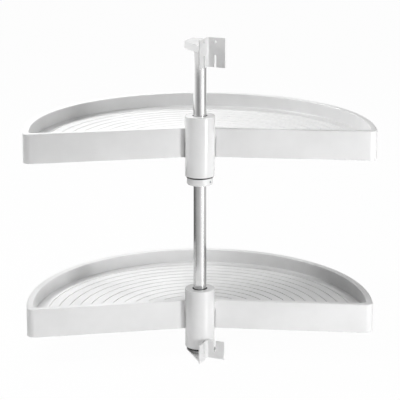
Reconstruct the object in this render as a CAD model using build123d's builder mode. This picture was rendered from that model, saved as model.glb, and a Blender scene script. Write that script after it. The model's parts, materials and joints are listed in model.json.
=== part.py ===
from build123d import *
import os
from math import cos, radians, sin, sqrt

# Half-moon corner carousel: two moulded trays that turn on a steel pole, which stands between
# a bottom and a top bracket screwed to the cabinet's corner stile.
# Millimetres, +Z up. The origin is on the pole's axis, at the underside of the bottom bracket.
# At rest the straight fronts of both trays face -Y.

# Heights above the underside of the bottom bracket
LOWER_RIM = 118.0
TRAY_SPACING = 384.0
UPPER_RIM = LOWER_RIM + TRAY_SPACING
COLLAR_BOTTOM = 379.0
TOP_BRACKET_BOTTOM = 640.5
CAP_BOTTOM = 675.0

# Tray, whose front edges are radial lines that lean forward of a half circle
TRAY_RADIUS = 375.0
FRONT_LEAN_DEGREES = 8.0
FRONT_LEAN = radians(FRONT_LEAN_DEGREES)
TRAY_HEIGHT = 63.5
RIM_WIDTH = 14.5
RIM_ROUNDING = 2.5
OUTER_CORNER = 16.0
BASIN_CORNER = 9.0
FLOOR_DROP = 29.0
BASIN_DRAFT = 2.0
WALL = 3.0
FLOOR_THICKNESS = 3.2

# Rings sunk into the tray's floor
RING_PITCH = 22.0
RING_OUTER = 334.0
RING_COUNT = 13
RING_WIDTH = 2.6
RING_DEPTH = 1.8
RING_MARGIN = 5.0

# Ribs under the tray's floor
RIB_THICKNESS = 2.5
RIB_COUNT = 7
RIB_DEPTH_AT_HUB = 14.0
RIB_DEPTH_AT_RIM = 8.0
RING_RIB_RADII = (147.0, 257.0)

# Pole, hub and the bushes that run on the pole
POLE_RADIUS = 14.0
POLE_WALL = 1.5
POLE_TOP = 686.0
RUNNING_CLEARANCE = 0.05
SEAT_CLEARANCE = 0.05
HUB_RADIUS = 32.0
HUB_ABOVE_RIM = 27.0
HUB_BELOW_RIM = 104.0
HUB_TOP_PLATE = 4.0
HUB_CHAMFER = 1.2
HUB_WEBS = 6
HUB_WEB_LIFT = 2.0
HUB_CORE_RADIUS = 19.5
HUB_CORE_RELIEF = 15.3
BUSH_OUTER = 16.5
BUSH_LENGTH = 20.0
BUSH_RECESS = 7.0
BUSH_FLANGE_RADIUS = 22.0
BUSH_FLANGE = 1.5
BUSH_LEAD_IN = 0.8

# The hub's half flange, screwed to bosses under the tray
SOCKET_CLEARANCE = 0.15
SOCKET_UPSTAND = 10.0
FLANGE_RADIUS = 60.0
FLANGE_FRONT = 16.0
FLANGE_THICKNESS = 4.0
FLANGE_ROOM = 4.0
GUSSET_DEPTH = 10.0
GUSSET_REACH = 20.0
GUSSET_ANGLES = (65.5, 114.5)
BOSS_DROP = 15.0
BOSS_RADIUS = 5.0
SCREW_CIRCLE = 50.0
SCREW_COUNT = 3
SCREW_FIRST_ANGLE = 41.0
SCREW_SWEEP = 98.0
SCREW_RADIUS = 2.0
SCREW_SLACK = 0.05
SCREW_HEAD_RADIUS = 4.0
SCREW_HEAD = 2.6
SCREW_HEAD_EDGE = 0.9
SCREW_BITE = 11.0
HOLE_SPARE = 1.0

# Collar clamped to the pole under the upper hub
COLLAR_RADIUS = 28.0
COLLAR_HEIGHT = 15.8
COLLAR_EDGE = 2.0
COLLAR_EASE = 0.6
GRUB_ANGLE = -39.4
GRUB_RADIUS = 2.5
GRUB_POINT_GAP = 0.35
GRUB_INSET = 0.4
GRUB_SOCKET_RADIUS = 1.7
GRUB_SOCKET_DEPTH = 3.0
THRUST_GAP = 0.3
WASHER_INNER = 14.3
WASHER_THICKNESS = 1.4

# Brackets of bent sheet, turned about the pole; x and y below are in their own plan
BRACKET_TURN = radians(-26.8)
SHEET = 2.5
BEND_INSIDE = 2.0
CORNER_X = 31.2
CORNER_Y = -27.6
LEFT_LEAF = 42.0
RIGHT_LEAF = 38.0
SLOT_WIDTH = 5.0
LEFT_SLOT = 19.5
RIGHT_SLOT = 16.0
PLAN_ROUNDING = 4.0

# Bottom bracket
BASE_BACK = 28.0
BASE_LEFT = -30.4
BASE_LEFT_FRONT = -2.8
BASE_TIP_Y = -67.8
BOTTOM_LEAF_TOP = 39.5
BOTTOM_SLOT_END = 14.0
PEEP_HOLE_HEIGHT = 8.5
PEEP_HOLE_RADIUS = 1.75
BASE_HOLE = (4.5, -27.6)
BASE_HOLE_RADIUS = 2.5

# Top bracket and the cap on its shelf
TOP_BRACKET_HEIGHT = 62.5
TOP_HOLE_DROP = 8.6
TOP_HOLE_RADIUS = 3.0
LEFT_HOLE = 20.8
TOP_SLOT_LENGTH = 26.5
CAP_HEIGHT = 16.0
CAP_SKIN = 2.6
CAP_LEFT = -25.6
CAP_LEFT_FRONT = -22.6
CAP_BACK = 18.5
CAP_TIP_Y = -67.3
CAP_SOCKET_WALL = 3.4
CAP_POLE_CLEARANCE = 0.1
CAP_ROUNDING = 1.0
SHELF_INSET = 2.8
SHELF_HOLE_RADIUS = 18.0
CAP_SCREWS = ((-10.0, -25.5), (16.0, -44.0))
CAP_BOSS_RADIUS = 4.0

# Foot plug in the pole and the screw that holds it
FOOT_RADIUS = 20.0
FOOT_FLANGE = 6.7
FOOT_STEM = 25.0
FOOT_LEAD_IN = 1.0
FOOT_SCREW_RADIUS = 2.5
FOOT_SCREW_HEAD = 4.6
FOOT_SCREW_BITE = 16.0
BEARING_RADIUS = 29.0

POLE_BOTTOM = SHEET + FOOT_FLANGE
SOCKET_INNER = HUB_RADIUS + SOCKET_CLEARANCE
SOCKET_OUTER = SOCKET_INNER + WALL
TRAY_RIB_STEP = (180.0 + 2 * FRONT_LEAN_DEGREES) / (RIB_COUNT + 1)


def half_moon(inset, corner):
    """The tray's outline in plan, moved inwards by inset, with its two front corners rounded."""
    radius = TRAY_RADIUS - inset
    along = sqrt(radius**2 - inset**2)
    end_x = along * cos(FRONT_LEAN) + inset * sin(FRONT_LEAN)
    end_y = inset * cos(FRONT_LEAN) - along * sin(FRONT_LEAN)
    middle = (0, inset / cos(FRONT_LEAN))
    with BuildSketch() as plan:
        with BuildLine():
            Line(middle, (end_x, end_y))
            ThreePointArc((end_x, end_y), (0, radius), (-end_x, end_y))
            Line((-end_x, end_y), middle)
        make_face()
        fillet(plan.vertices().group_by(Axis.Y)[0], radius=corner)
    return plan.sketch


def behind(front, radius):
    """The part of a disc round the pole that lies behind the line y = front."""
    with BuildSketch() as plan:
        Circle(radius)
        with Locations((0, front)):
            Rectangle(2 * radius, radius, align=(Align.CENTER, Align.MIN), mode=Mode.INTERSECT)
    return plan.sketch


def radial_plane(degrees_from_x):
    """An upright plane through the pole's axis: its x is the radius and its y the height."""
    angle = radians(degrees_from_x)
    return Plane(origin=(0, 0, 0), x_dir=(cos(angle), sin(angle), 0), z_dir=(sin(angle), -cos(angle), 0))


def bracket_plane(height):
    """The brackets' own plan at a height."""
    return Plane(origin=(0, 0, height), x_dir=(cos(BRACKET_TURN), sin(BRACKET_TURN), 0), z_dir=(0, 0, 1))


def leaf_plane(along_right):
    """An upright plane at the L's inside corner: x runs out along one leaf, y is the height."""
    origin = bracket_plane(0).from_local_coords(Vector(CORNER_X, CORNER_Y, 0))
    x_axis = Vector(cos(BRACKET_TURN), sin(BRACKET_TURN), 0)
    y_axis = Vector(-sin(BRACKET_TURN), cos(BRACKET_TURN), 0)
    if along_right:
        return Plane(origin=origin, x_dir=x_axis, z_dir=-y_axis)
    return Plane(origin=origin, x_dir=-y_axis, z_dir=-x_axis)


def ring_solid(inner, outer, bottom, top):
    """A plain ring round the pole."""
    with BuildPart() as ring:
        with BuildSketch(Plane.XY.offset(bottom)):
            Circle(outer)
            Circle(inner, mode=Mode.SUBTRACT)
        extrude(amount=top - bottom)
    return ring


def make_tray(rim):
    """A moulded tray with a hollow rim, a ringed floor and a ribbed underside; rim is its top."""
    skirt = rim - TRAY_HEIGHT
    floor = rim - FLOOR_DROP
    under = floor - FLOOR_THICKNESS
    boss_end = under - BOSS_DROP
    with BuildPart() as tray:
        with BuildSketch(Plane.XY.offset(skirt)):
            add(half_moon(0, OUTER_CORNER))
        extrude(amount=TRAY_HEIGHT)

        # The basin narrows a little towards its floor
        with BuildSketch(Plane.XY.offset(rim)):
            add(half_moon(RIM_WIDTH, BASIN_CORNER))
        extrude(amount=-FLOOR_DROP, taper=BASIN_DRAFT, mode=Mode.SUBTRACT)
        fillet(tray.edges().filter_by_position(Axis.Z, rim, rim), radius=RIM_ROUNDING)

        # The underside is open, and so is the rim from below
        with BuildSketch(Plane.XY.offset(skirt)):
            add(half_moon(WALL, OUTER_CORNER - WALL))
        extrude(amount=under - skirt, mode=Mode.SUBTRACT)
        with BuildSketch(Plane.XY.offset(under)):
            add(half_moon(WALL, OUTER_CORNER - WALL))
            add(half_moon(RIM_WIDTH - WALL, BASIN_CORNER), mode=Mode.SUBTRACT)
        extrude(amount=rim - WALL - under, mode=Mode.SUBTRACT)

        # Rings round the pole, sunk into the floor
        with BuildSketch(Plane.XY.offset(floor)):
            for ring in range(RING_COUNT):
                radius = RING_OUTER - ring * RING_PITCH
                Circle(radius + RING_WIDTH / 2)
                Circle(radius - RING_WIDTH / 2, mode=Mode.SUBTRACT)
            add(half_moon(RIM_WIDTH + RING_MARGIN, BASIN_CORNER), mode=Mode.INTERSECT)
        extrude(amount=-RING_DEPTH, mode=Mode.SUBTRACT)

        # Radial ribs that grow shallow towards the rim, tied by ring ribs
        for rib in range(RIB_COUNT):
            with BuildSketch(radial_plane((rib + 1) * TRAY_RIB_STEP - FRONT_LEAN_DEGREES)):
                with BuildLine():
                    Polyline(
                        (SOCKET_INNER, under),
                        (TRAY_RADIUS - WALL / 2, under),
                        (TRAY_RADIUS - WALL / 2, under - RIB_DEPTH_AT_RIM),
                        (SOCKET_INNER, under - RIB_DEPTH_AT_HUB),
                        close=True,
                    )
                make_face()
            extrude(amount=RIB_THICKNESS / 2, both=True)
        with BuildSketch(Plane.XY.offset(under)):
            for radius in sorted(RING_RIB_RADII, reverse=True):
                Circle(radius + RIB_THICKNESS / 2)
                Circle(radius - RIB_THICKNESS / 2, mode=Mode.SUBTRACT)
            add(half_moon(WALL / 2, BASIN_CORNER), mode=Mode.INTERSECT)
        extrude(amount=-RIB_DEPTH_AT_RIM)

        # The socket that holds the hub, open below where the hub's flange goes
        with BuildSketch(Plane.XY.offset(skirt)):
            Circle(SOCKET_OUTER)
            add(half_moon(0, OUTER_CORNER), mode=Mode.INTERSECT)
        extrude(amount=floor + SOCKET_UPSTAND - skirt)
        with BuildSketch(Plane.XY.offset(skirt)):
            add(behind(FLANGE_FRONT - FLANGE_ROOM, FLANGE_RADIUS + FLANGE_ROOM))
        extrude(amount=boss_end - skirt, mode=Mode.SUBTRACT)
        with BuildSketch(Plane.XY.offset(boss_end)):
            with PolarLocations(SCREW_CIRCLE, SCREW_COUNT, SCREW_FIRST_ANGLE, SCREW_SWEEP, endpoint=True):
                Circle(BOSS_RADIUS)
        extrude(amount=BOSS_DROP)
        with BuildSketch(Plane.XY.offset(boss_end)):
            with PolarLocations(SCREW_CIRCLE, SCREW_COUNT, SCREW_FIRST_ANGLE, SCREW_SWEEP, endpoint=True):
                Circle(SCREW_RADIUS)
        extrude(amount=SCREW_BITE + HOLE_SPARE, mode=Mode.SUBTRACT)
        with BuildSketch(Plane.XY.offset(skirt)):
            Circle(SOCKET_INNER)
        extrude(amount=TRAY_HEIGHT, mode=Mode.SUBTRACT)
    return tray


def make_hub(rim):
    """A moulded sleeve: outer wall, webs and an inner core with a seat for a bush at each end."""
    bottom = rim - HUB_BELOW_RIM
    top = rim + HUB_ABOVE_RIM
    flange_top = rim - FLOOR_DROP - FLOOR_THICKNESS - BOSS_DROP
    flange_bottom = flange_top - FLANGE_THICKNESS
    lower_seat = bottom + BUSH_LENGTH
    upper_seat = top - BUSH_RECESS - BUSH_LENGTH
    inner_wall = HUB_RADIUS - WALL
    with BuildPart() as hub:
        with BuildSketch(Plane.XZ):
            with BuildLine():
                Polyline(
                    (BUSH_OUTER, top),
                    (HUB_RADIUS, top),
                    (HUB_RADIUS, bottom),
                    (inner_wall, bottom),
                    (inner_wall, top - HUB_TOP_PLATE),
                    (HUB_CORE_RADIUS, top - HUB_TOP_PLATE),
                    (HUB_CORE_RADIUS, bottom),
                    (BUSH_OUTER, bottom),
                    (BUSH_OUTER, lower_seat),
                    (HUB_CORE_RELIEF, lower_seat),
                    (HUB_CORE_RELIEF, upper_seat),
                    (BUSH_OUTER, upper_seat),
                    close=True,
                )
            make_face()
        revolve(axis=Axis.Z)
        crown = hub.edges().filter_by(GeomType.CIRCLE).group_by(Axis.Z)[-1]
        chamfer(crown.sort_by(SortBy.RADIUS)[-1], length=HUB_CHAMFER)
        with BuildSketch(Plane.XY.offset(bottom + HUB_WEB_LIFT)):
            with PolarLocations((HUB_CORE_RADIUS + inner_wall) / 2, HUB_WEBS):
                Rectangle(inner_wall - HUB_CORE_RADIUS + WALL / 2, RIB_THICKNESS)
        extrude(amount=top - HUB_TOP_PLATE / 2 - bottom - HUB_WEB_LIFT)

        # Half flange behind the hub, with its screw holes and two gussets
        with BuildSketch(Plane.XY.offset(flange_bottom)):
            add(behind(FLANGE_FRONT, FLANGE_RADIUS))
            Circle(HUB_RADIUS - WALL / 2, mode=Mode.SUBTRACT)
            with PolarLocations(SCREW_CIRCLE, SCREW_COUNT, SCREW_FIRST_ANGLE, SCREW_SWEEP, endpoint=True):
                Circle(SCREW_RADIUS + 2 * SCREW_SLACK, mode=Mode.SUBTRACT)
        extrude(amount=FLANGE_THICKNESS)
        for angle in GUSSET_ANGLES:
            with BuildSketch(radial_plane(angle)):
                with BuildLine():
                    Polyline(
                        (HUB_RADIUS - WALL / 2, flange_bottom),
                        (HUB_RADIUS + GUSSET_REACH, flange_bottom),
                        (HUB_RADIUS - WALL / 2, flange_bottom - GUSSET_DEPTH),
                        close=True,
                    )
                make_face()
            extrude(amount=RIB_THICKNESS / 2, both=True)
    return hub


def make_top_bush(rim):
    """A plain bush sunk below the hub's top, with a lead-in at each end of its bore."""
    top = rim + HUB_ABOVE_RIM - BUSH_RECESS
    bore = POLE_RADIUS + RUNNING_CLEARANCE
    bush = ring_solid(bore, BUSH_OUTER - SEAT_CLEARANCE, top - BUSH_LENGTH, top)
    with bush:
        chamfer(bush.edges().filter_by(GeomType.CIRCLE).group_by(SortBy.RADIUS)[0], length=BUSH_LEAD_IN)
    return bush


def make_bottom_bush(rim):
    """A bush pressed up into the hub, whose flange runs on the bearing below."""
    bottom = rim - HUB_BELOW_RIM
    bore = POLE_RADIUS + RUNNING_CLEARANCE
    with BuildPart() as bush:
        with BuildSketch(Plane.XY.offset(bottom)):
            Circle(BUSH_OUTER - SEAT_CLEARANCE)
        extrude(amount=BUSH_LENGTH)
        with BuildSketch(Plane.XY.offset(bottom)):
            Circle(BUSH_FLANGE_RADIUS)
        extrude(amount=-BUSH_FLANGE)
        with BuildSketch(Plane.XY.offset(bottom - BUSH_FLANGE)):
            Circle(bore)
        extrude(amount=BUSH_LENGTH + BUSH_FLANGE, mode=Mode.SUBTRACT)
        chamfer(bush.edges().filter_by(GeomType.CIRCLE).group_by(SortBy.RADIUS)[0], length=BUSH_LEAD_IN)
    return bush


def make_hub_screws(rim):
    """The screws that hold the hub's flange up against the tray's bosses."""
    joint = rim - FLOOR_DROP - FLOOR_THICKNESS - BOSS_DROP
    head_top = joint - FLANGE_THICKNESS
    with BuildPart() as screws:
        with BuildSketch(Plane.XY.offset(head_top)):
            with PolarLocations(SCREW_CIRCLE, SCREW_COUNT, SCREW_FIRST_ANGLE, SCREW_SWEEP, endpoint=True):
                Circle(SCREW_HEAD_RADIUS)
        extrude(amount=-SCREW_HEAD)
        chamfer(screws.edges().group_by(Axis.Z)[0], length=SCREW_HEAD_EDGE)
        with BuildSketch(Plane.XY.offset(head_top)):
            with PolarLocations(SCREW_CIRCLE, SCREW_COUNT, SCREW_FIRST_ANGLE, SCREW_SWEEP, endpoint=True):
                Circle(SCREW_RADIUS - SCREW_SLACK)
        extrude(amount=FLANGE_THICKNESS + SCREW_BITE)
    return screws


def corner_leaves(bottom, height):
    """The two upright leaves of a bracket, bent round the inside corner where the stile sits."""
    with BuildPart() as leaves:
        with BuildSketch(bracket_plane(bottom)) as plan:
            with BuildLine():
                Polyline(
                    (CORNER_X, CORNER_Y - LEFT_LEAF),
                    (CORNER_X, CORNER_Y),
                    (CORNER_X + RIGHT_LEAF, CORNER_Y),
                    (CORNER_X + RIGHT_LEAF, CORNER_Y + SHEET),
                    (CORNER_X - SHEET, CORNER_Y + SHEET),
                    (CORNER_X - SHEET, CORNER_Y - LEFT_LEAF),
                    close=True,
                )
            make_face()
            fillet(plan.vertices().sort_by_distance((CORNER_X, CORNER_Y))[0], radius=BEND_INSIDE)
            outside = (CORNER_X - SHEET, CORNER_Y + SHEET)
            fillet(plan.vertices().sort_by_distance(outside)[0], radius=BEND_INSIDE + SHEET)
        extrude(amount=height)
    return leaves.part


def slot_cutter(plane, along, closed_end, open_end):
    """What a slot takes out of a leaf: round at its closed end and open at the leaf's edge."""
    half = SLOT_WIDTH / 2
    upwards = open_end > closed_end
    centre = closed_end + half if upwards else closed_end - half
    with BuildPart() as cutter:
        with BuildSketch(plane):
            with Locations((along, centre)):
                Circle(half)
                Rectangle(
                    SLOT_WIDTH,
                    abs(open_end - closed_end),
                    align=(Align.CENTER, Align.MIN if upwards else Align.MAX),
                )
        extrude(amount=2 * SHEET, both=True)
    return cutter.part


def hole_cutter(plane, along, height, radius):
    """What a round hole takes out of a leaf."""
    with BuildPart() as cutter:
        with BuildSketch(plane):
            with Locations((along, height)):
                Circle(radius)
        extrude(amount=2 * SHEET, both=True)
    return cutter.part


# Pole, its foot plug and the screw that draws the plug down on the bottom bracket
pole_tube = ring_solid(POLE_RADIUS - POLE_WALL, POLE_RADIUS, POLE_BOTTOM, POLE_TOP)

with BuildPart() as pole_foot_plug:
    with BuildSketch(Plane.XY.offset(SHEET)):
        Circle(FOOT_RADIUS)
    extrude(amount=FOOT_FLANGE)
    with BuildSketch(Plane.XY.offset(POLE_BOTTOM)):
        Circle(POLE_RADIUS - POLE_WALL - SEAT_CLEARANCE)
    extrude(amount=FOOT_STEM)
    chamfer(pole_foot_plug.edges().group_by(Axis.Z)[-1], length=FOOT_LEAD_IN)
    with BuildSketch(Plane.XY.offset(SHEET)):
        Circle(FOOT_SCREW_RADIUS)
    extrude(amount=FOOT_SCREW_BITE + HOLE_SPARE, mode=Mode.SUBTRACT)

with BuildPart() as pole_foot_screw:
    with BuildSketch(Plane.XZ):
        with BuildLine():
            Polyline(
                (0, 0),
                (FOOT_SCREW_HEAD, 0),
                (FOOT_SCREW_RADIUS - SCREW_SLACK, SHEET),
                (FOOT_SCREW_RADIUS - SCREW_SLACK, SHEET + FOOT_SCREW_BITE),
                (0, SHEET + FOOT_SCREW_BITE),
                close=True,
            )
        make_face()
    revolve(axis=Axis.Z)

# Ring that carries the lower hub, on the foot plug's flange
lower_bush_foot = LOWER_RIM - HUB_BELOW_RIM - BUSH_FLANGE
base_bearing_ring = ring_solid(WASHER_INNER, BEARING_RADIUS, POLE_BOTTOM, lower_bush_foot - THRUST_GAP)

# Lower tray with its hub
lower_tray = make_tray(LOWER_RIM)
lower_hub = make_hub(LOWER_RIM)
lower_hub_top_bush = make_top_bush(LOWER_RIM)
lower_hub_bottom_bush = make_bottom_bush(LOWER_RIM)
lower_hub_screws = make_hub_screws(LOWER_RIM)

# Collar that sets the upper tray's height, with its grub screw and the washer on top
collar_top = COLLAR_BOTTOM + COLLAR_HEIGHT
collar_middle = COLLAR_BOTTOM + COLLAR_HEIGHT / 2
grub_plane = Plane(
    origin=(0, 0, collar_middle),
    x_dir=(0, 0, 1),
    z_dir=(cos(radians(GRUB_ANGLE)), sin(radians(GRUB_ANGLE)), 0),
)
with BuildPart() as stop_collar:
    with BuildSketch(Plane.XY.offset(COLLAR_BOTTOM)):
        Circle(COLLAR_RADIUS)
    extrude(amount=COLLAR_HEIGHT)
    chamfer(stop_collar.edges().group_by(Axis.Z)[0], length=COLLAR_EDGE)
    chamfer(stop_collar.edges().group_by(Axis.Z)[-1], length=COLLAR_EASE)
    with BuildSketch(Plane.XY.offset(COLLAR_BOTTOM)):
        Circle(POLE_RADIUS + RUNNING_CLEARANCE)
    extrude(amount=COLLAR_HEIGHT, mode=Mode.SUBTRACT)
    with BuildSketch(grub_plane):
        Circle(GRUB_RADIUS + SCREW_SLACK)
    extrude(amount=COLLAR_RADIUS, mode=Mode.SUBTRACT)

grub_point = POLE_RADIUS + GRUB_POINT_GAP
grub_end = COLLAR_RADIUS - GRUB_INSET
with BuildPart() as collar_grub_screw:
    with BuildSketch(grub_plane.offset(grub_point)):
        Circle(GRUB_RADIUS)
    extrude(amount=grub_end - grub_point)
    with BuildSketch(grub_plane.offset(grub_end)):
        RegularPolygon(GRUB_SOCKET_RADIUS, 6)
    extrude(amount=-GRUB_SOCKET_DEPTH, mode=Mode.SUBTRACT)

upper_thrust_washer = ring_solid(WASHER_INNER, BUSH_FLANGE_RADIUS, collar_top, collar_top + WASHER_THICKNESS)

# Upper tray with its hub
upper_tray = make_tray(UPPER_RIM)
upper_hub = make_hub(UPPER_RIM)
upper_hub_top_bush = make_top_bush(UPPER_RIM)
upper_hub_bottom_bush = make_bottom_bush(UPPER_RIM)
upper_hub_screws = make_hub_screws(UPPER_RIM)

# Bottom bracket: a base plate bent up into the two slotted leaves
right_leaf = leaf_plane(along_right=True)
left_leaf = leaf_plane(along_right=False)
with BuildPart() as bottom_bracket:
    add(corner_leaves(0, BOTTOM_LEAF_TOP))
    with BuildSketch(bracket_plane(0)) as base_plan:
        with BuildLine():
            Polyline(
                (BASE_LEFT, BASE_BACK),
                (BASE_LEFT, BASE_LEFT_FRONT),
                (CORNER_X, BASE_TIP_Y),
                (CORNER_X, BASE_BACK),
                close=True,
            )
        make_face()
        fillet(base_plan.vertices().group_by(Axis.Y)[-1], radius=PLAN_ROUNDING)
    extrude(amount=SHEET)
    with BuildSketch(bracket_plane(0)):
        with Locations(BASE_HOLE):
            Circle(BASE_HOLE_RADIUS)
    extrude(amount=SHEET, mode=Mode.SUBTRACT)
    with BuildSketch(Plane.XZ):
        with BuildLine():
            Polyline(
                (0, 0),
                (FOOT_SCREW_HEAD + SCREW_SLACK, 0),
                (FOOT_SCREW_RADIUS, SHEET),
                (0, SHEET),
                close=True,
            )
        make_face()
    revolve(axis=Axis.Z, mode=Mode.SUBTRACT)
    add(slot_cutter(left_leaf, LEFT_SLOT, BOTTOM_SLOT_END, BOTTOM_LEAF_TOP), mode=Mode.SUBTRACT)
    add(slot_cutter(right_leaf, RIGHT_SLOT, BOTTOM_SLOT_END, BOTTOM_LEAF_TOP), mode=Mode.SUBTRACT)
    add(hole_cutter(left_leaf, LEFT_SLOT, PEEP_HOLE_HEIGHT, PEEP_HOLE_RADIUS), mode=Mode.SUBTRACT)

# Top bracket: the same two leaves with a shelf behind them that carries the cap
top_hole_height = TOP_BRACKET_BOTTOM + TOP_BRACKET_HEIGHT - TOP_HOLE_DROP
top_slot_end = TOP_BRACKET_BOTTOM + TOP_SLOT_LENGTH
leaf_back = CORNER_X - SHEET


def cap_plan(inset, corner):
    """The cap's outline in the brackets' plan, moved inwards by inset except at the leaf."""
    with BuildSketch() as plan:
        with BuildLine():
            Polyline(
                (CAP_LEFT, CAP_BACK),
                (CAP_LEFT, CAP_LEFT_FRONT),
                (leaf_back, CAP_TIP_Y),
                (leaf_back, CAP_BACK),
                close=True,
            )
        make_face()
        if inset:
            offset(amount=-inset, kind=Kind.INTERSECTION)
        fillet(plan.vertices().group_by(Axis.Y)[-1], radius=corner)
    return plan.sketch


with BuildPart() as top_bracket:
    add(corner_leaves(TOP_BRACKET_BOTTOM, TOP_BRACKET_HEIGHT))
    with BuildSketch(bracket_plane(CAP_BOTTOM)):
        add(cap_plan(SHELF_INSET, PLAN_ROUNDING))
        with Locations((leaf_back - SHELF_INSET, CAP_TIP_Y + 2 * SHELF_INSET)):
            Rectangle(2 * SHELF_INSET, -CAP_TIP_Y, align=(Align.MIN, Align.MIN))
        Circle(SHELF_HOLE_RADIUS, mode=Mode.SUBTRACT)
        with Locations(CAP_SCREWS):
            Circle(SCREW_RADIUS + 2 * SCREW_SLACK, mode=Mode.SUBTRACT)
    extrude(amount=SHEET)
    add(slot_cutter(left_leaf, LEFT_SLOT, top_slot_end, TOP_BRACKET_BOTTOM), mode=Mode.SUBTRACT)
    add(slot_cutter(right_leaf, RIGHT_SLOT, top_slot_end, TOP_BRACKET_BOTTOM), mode=Mode.SUBTRACT)
    add(hole_cutter(left_leaf, LEFT_HOLE, top_hole_height, TOP_HOLE_RADIUS), mode=Mode.SUBTRACT)
    add(hole_cutter(right_leaf, RIGHT_SLOT, top_hole_height, TOP_HOLE_RADIUS), mode=Mode.SUBTRACT)

# Cap: a moulded box, open below over the shelf, with a socket for the pole's end
cap_room = CAP_HEIGHT - CAP_SKIN - SHEET
cap_screw_room = cap_room - HOLE_SPARE
with BuildPart() as top_cap_block:
    with BuildSketch(bracket_plane(CAP_BOTTOM)):
        add(cap_plan(0, PLAN_ROUNDING))
    extrude(amount=CAP_HEIGHT)
    fillet(top_cap_block.edges().group_by(Axis.Z)[-1], radius=CAP_ROUNDING)
    with BuildSketch(bracket_plane(CAP_BOTTOM)):
        add(cap_plan(CAP_SKIN, PLAN_ROUNDING))
        with Locations((leaf_back, CAP_TIP_Y)):
            Rectangle(2 * SHELF_INSET, -CAP_TIP_Y + CAP_BACK - SHELF_INSET, align=(Align.MAX, Align.MIN))
    extrude(amount=SHEET, mode=Mode.SUBTRACT)
    with BuildSketch(bracket_plane(CAP_BOTTOM + SHEET)):
        add(cap_plan(CAP_SKIN, PLAN_ROUNDING))
    extrude(amount=cap_room, mode=Mode.SUBTRACT)
    with BuildSketch(bracket_plane(CAP_BOTTOM)):
        Circle(POLE_RADIUS + CAP_POLE_CLEARANCE + CAP_SOCKET_WALL)
    extrude(amount=CAP_HEIGHT - CAP_SKIN)
    with BuildSketch(bracket_plane(CAP_BOTTOM + SHEET)):
        with Locations(CAP_SCREWS):
            Circle(CAP_BOSS_RADIUS)
    extrude(amount=cap_room)
    with BuildSketch(bracket_plane(CAP_BOTTOM)):
        Circle(POLE_RADIUS + CAP_POLE_CLEARANCE)
    extrude(amount=CAP_HEIGHT - CAP_SKIN, mode=Mode.SUBTRACT)
    with BuildSketch(bracket_plane(CAP_BOTTOM + SHEET)):
        with Locations(CAP_SCREWS):
            Circle(SCREW_RADIUS)
    extrude(amount=cap_screw_room, mode=Mode.SUBTRACT)

with BuildPart() as top_cap_screws:
    with BuildSketch(bracket_plane(CAP_BOTTOM)):
        with Locations(CAP_SCREWS):
            Circle(SCREW_HEAD_RADIUS)
    extrude(amount=-SCREW_HEAD)
    chamfer(top_cap_screws.edges().group_by(Axis.Z)[0], length=SCREW_HEAD_EDGE)
    with BuildSketch(bracket_plane(CAP_BOTTOM)):
        with Locations(CAP_SCREWS):
            Circle(SCREW_RADIUS - SCREW_SLACK)
    extrude(amount=SHEET + cap_screw_room - HOLE_SPARE)

pieces = {
    "pole_tube": pole_tube,
    "pole_foot_plug": pole_foot_plug,
    "pole_foot_screw": pole_foot_screw,
    "bottom_bracket": bottom_bracket,
    "base_bearing_ring": base_bearing_ring,
    "lower_tray": lower_tray,
    "lower_hub": lower_hub,
    "lower_hub_top_bush": lower_hub_top_bush,
    "lower_hub_bottom_bush": lower_hub_bottom_bush,
    "lower_hub_screws": lower_hub_screws,
    "stop_collar": stop_collar,
    "collar_grub_screw": collar_grub_screw,
    "upper_thrust_washer": upper_thrust_washer,
    "upper_tray": upper_tray,
    "upper_hub": upper_hub,
    "upper_hub_top_bush": upper_hub_top_bush,
    "upper_hub_bottom_bush": upper_hub_bottom_bush,
    "upper_hub_screws": upper_hub_screws,
    "top_bracket": top_bracket,
    "top_cap_block": top_cap_block,
    "top_cap_screws": top_cap_screws,
}
os.makedirs("parts", exist_ok=True)
for name, piece in pieces.items():
    piece.part.label = name
    export_step(piece.part, f"parts/{name}.step")
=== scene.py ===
# %% [markdown]
# # A half-moon corner carousel
# Two white moulded trays turn on a bright steel pole, which stands between two slotted brackets
# behind a cabinet's corner stile. The engineering model comes in as a fixed frame, in metres,
# with +Z up and the pole on the Z axis. Its solids could be shown as they are, but their edges
# are sharp. So this script builds the moulded and turned forms again as fine surfaces on the
# sizes of that frame, and gives every visible piece its own finish.

# %% Load the frame and its helpers for boxes and bodies
import json
import math

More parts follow.
